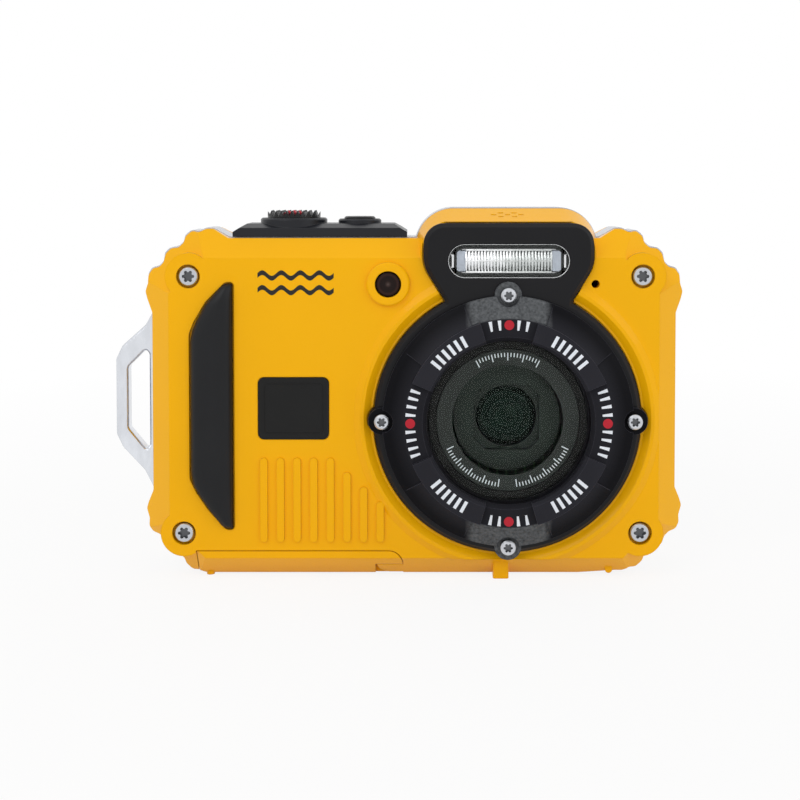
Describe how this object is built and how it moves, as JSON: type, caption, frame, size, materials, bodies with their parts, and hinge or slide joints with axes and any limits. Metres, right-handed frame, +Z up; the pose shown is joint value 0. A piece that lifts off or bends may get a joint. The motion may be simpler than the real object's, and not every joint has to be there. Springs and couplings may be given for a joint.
{
  "type": "waterproof digital camera",
  "caption": "Rugged waterproof compact camera with a round lens surround, a flash housing, a grip pad, a strap loop, push buttons and a hinged battery door.",
  "frame": {"origin": "middle of the tripod socket's mouth on the underside", "axes": "+X to the right seen from the front, +Y from the lens to the display, +Z up"},
  "size_m": [0.1149, 0.0274, 0.0739],
  "materials": {
    "yellow_front": "fine satin",
    "yellow_rear": "fine satin",
    "yellow_door": "fine satin",
    "satin_frame": "satin",
    "sealing_rubber": "matte",
    "grip_rubber": "soft matte",
    "badge_black": "satin",
    "steel_screws": "satin",
    "brass_parts": "turned",
    "satin_black": "satin",
    "ring_black": "satin with painted marks",
    "lens_glass": "coated",
    "mask_black": "matte",
    "flash_glass": "clear, ribbed inside",
    "polished_metal": "polished",
    "capacitor_sleeve": "shrunk sleeve",
    "lamp_red_glass": "dark red",
    "lamp_plastic": "clear orange",
    "plate_black": "fine grain",
    "button_black": "satin",
    "accent_red": "satin",
    "spring_steel": "bright",
    "circuit_board": "solder mask",
    "latch_grey": "fine grain",
    "battery_wrap": "printed wrap",
    "card_plastic": "smooth",
    "socket_metal": "stamped",
    "motor_metal": "drawn",
    "sensor_ceramic": "smooth",
    "lug_steel": "satin",
    "display_dark": "dark",
    "display_glass": "clear over black",
    "key_grey": "fine grain",
    "key_red": "fine grain"
  },
  "bodies": {
    "camera": {"front_cover": "yellow_front", "mid_frame": "satin_frame", "rear_cover": "yellow_rear", "cover_gaskets": "sealing_rubber", "grip_pad": "grip_rubber", "badge_plate": "badge_black", "case_screws": "steel_screws", "screw_inserts": "brass_parts", "lens_bezel": "satin_black", "lens_trim_ring": "ring_black", "ring_screws": "steel_screws", "lens_window": "lens_glass", "window_seal": "sealing_rubber", "window_mask": "mask_black", "flash_window": "flash_glass", "flash_reflector": "polished_metal", "flash_tube": "flash_glass", "flash_capacitor": "capacitor_sleeve", "af_lamp_window": "lamp_red_glass", "af_lamp_led": "lamp_plastic", "top_plate": "plate_black", "shutter_seal": "sealing_rubber", "shutter_spring": "spring_steel", "top_switch_board": "circuit_board", "door_hinge_pin": "spring_steel", "battery": "battery_wrap", "battery_holder": "mask_black", "memory_card": "card_plastic", "card_slot": "socket_metal", "usb_socket": "socket_metal", "tripod_insert": "brass_parts", "strap_lug": "lug_steel", "lens_housing": "mask_black", "lens_guide_rods": "spring_steel", "lens_front_element": "lens_glass", "lens_prism": "lens_glass", "zoom_motor": "motor_metal", "image_sensor": "sensor_ceramic", "main_board": "circuit_board", "display_panel": "display_dark", "display_window": "display_glass", "key_board": "circuit_board"},
    "shutter": {"shutter_button": "button_black", "shutter_accent": "accent_red"},
    "power": {"power_button": "button_black"},
    "door": {"battery_door": "yellow_door", "door_gasket": "sealing_rubber"},
    "latch": {"door_latch": "latch_grey"},
    "zoom_group": {"zoom_carriage": "mask_black", "zoom_group_lens": "lens_glass"},
    "focus_group": {"focus_carriage": "mask_black", "focus_group_lens": "lens_glass"},
    "record_key": {"record_button": "key_red"},
    "tele_key": {"tele_button": "key_grey"},
    "wide_key": {"wide_button": "key_grey"},
    "navigation_pad": {"nav_pad": "key_grey"},
    "centre_key": {"ok_button": "key_grey"},
    "menu_key": {"menu_button": "key_grey"},
    "play_key": {"play_button": "key_grey"},
    "delete_key": {"delete_button": "key_grey"}
  },
  "joints": [
    {"name": "shutter_press", "type": "slide", "parent": "camera", "child": "shutter", "axis": [0, 0, -1], "range_m": [0, 0.0009], "stiffness_N_per_m": 900, "springref_m": -0.0003, "deforming": ["shutter_spring"]},
    {"name": "power_press", "type": "slide", "parent": "camera", "child": "power", "axis": [0, 0, -1], "range_m": [0, 0.0005], "stiffness_N_per_m": 900, "springref_m": -0.0003},
    {"name": "door_hinge", "type": "hinge", "parent": "camera", "child": "door", "pos_m": [-0.0234, -0.00055, 0.0027], "axis": [0, -1, 0], "range_deg": [0, 90]},
    {"name": "latch_slide", "type": "slide", "parent": "door", "child": "latch", "axis": [1, 0, 0], "range_m": [0, 0.0018]},
    {"name": "zoom_drive", "type": "slide", "parent": "camera", "child": "zoom_group", "axis": [0, 0, 1], "range_m": [0, 0.0065]},
    {"name": "focus_drive", "type": "slide", "parent": "camera", "child": "focus_group", "axis": [0, 0, 1], "range_m": [-0.0026, 0]},
    {"name": "record_key_press", "type": "slide", "parent": "camera", "child": "record_key", "axis": [0, -1, 0], "range_m": [0, 0.0006], "stiffness_N_per_m": 800, "springref_m": -0.0003},
    {"name": "tele_key_press", "type": "slide", "parent": "camera", "child": "tele_key", "axis": [0, -1, 0], "range_m": [0, 0.0006], "stiffness_N_per_m": 800, "springref_m": -0.0003},
    {"name": "wide_key_press", "type": "slide", "parent": "camera", "child": "wide_key", "axis": [0, -1, 0], "range_m": [0, 0.0006], "stiffness_N_per_m": 800, "springref_m": -0.0003},
    {"name": "navigation_pad_press", "type": "slide", "parent": "camera", "child": "navigation_pad", "axis": [0, -1, 0], "range_m": [0, 0.0006], "stiffness_N_per_m": 800, "springref_m": -0.0003},
    {"name": "centre_key_press", "type": "slide", "parent": "camera", "child": "centre_key", "axis": [0, -1, 0], "range_m": [0, 0.0006], "stiffness_N_per_m": 800, "springref_m": -0.0003},
    {"name": "menu_key_press", "type": "slide", "parent": "camera", "child": "menu_key", "axis": [0, -1, 0], "range_m": [0, 0.0006], "stiffness_N_per_m": 800, "springref_m": -0.0003},
    {"name": "play_key_press", "type": "slide", "parent": "camera", "child": "play_key", "axis": [0, -1, 0], "range_m": [0, 0.0006], "stiffness_N_per_m": 800, "springref_m": -0.0003},
    {"name": "delete_key_press", "type": "slide", "parent": "camera", "child": "delete_key", "axis": [0, -1, 0], "range_m": [0, 0.0006], "stiffness_N_per_m": 800, "springref_m": -0.0003}
  ],
  "couplings": [
    {"joint": "focus_drive", "follows": "zoom_drive", "ratio": -0.4}
  ]
}
